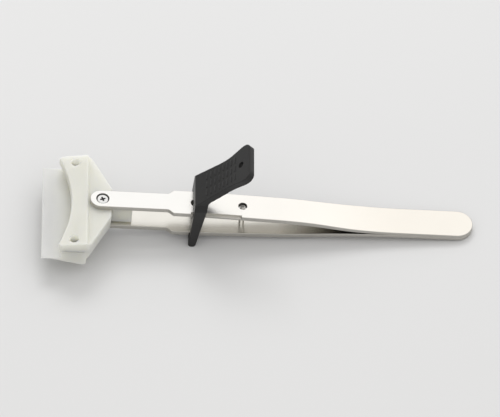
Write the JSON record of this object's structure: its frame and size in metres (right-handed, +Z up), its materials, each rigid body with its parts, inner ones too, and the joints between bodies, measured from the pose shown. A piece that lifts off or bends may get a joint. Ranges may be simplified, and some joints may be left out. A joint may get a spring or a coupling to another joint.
{
  "type": "sprung hand tongs",
  "caption": "Sprung hand tongs with two steel limbs joined at the tail, white plastic jaws across the front and a black sliding lock with a tall thumb flag.",
  "frame": {"origin": "on the surface that the tongs lie on, under the middle of their bounding box", "axes": "+X from the jaws to the joined tail, +Z up, the tongs' middle plane at Y = 0; the tongs lie locked and closed on the foot of the lock and the tip of the tail"},
  "size_m": [0.2156, 0.0586, 0.054],
  "materials": {
    "stainless_strip": "fine brushed stainless steel strip with rounded edges",
    "white_plastic": "satin moulded white plastic",
    "brass_insert": "turned brass, hidden in the jaws",
    "bright_steel": "bright turned steel",
    "black_plastic": "satin moulded black plastic"
  },
  "bodies": {
    "lower_half": {"lower_limb": "stainless_strip", "upper_limb_tail": "stainless_strip", "lower_jaw": "white_plastic", "lower_jaw_insert": "brass_insert", "lower_jaw_screw": "bright_steel", "guide_pin": "bright_steel"},
    "upper_half": {"upper_limb": "stainless_strip", "upper_jaw": "white_plastic", "upper_jaw_insert": "brass_insert", "upper_jaw_screw": "bright_steel"},
    "lock": {"lock_slide": "black_plastic"}
  },
  "joints": [
    {"name": "lock_travel", "type": "slide", "parent": "lower_half", "child": "lock", "axis": [0.9989, 0, -0.0465], "range_m": [0, 0.0185]},
    {"name": "limb_flex", "type": "hinge", "parent": "lower_half", "child": "upper_half", "pos_m": [0.06966, 0, 0.00642], "axis": [0, 1, 0], "range_deg": [0, 0.7]}
  ],
  "couplings": [
    {"joint": "limb_flex", "follows": "lock_travel", "rad_per_m": 0.66}
  ]
}
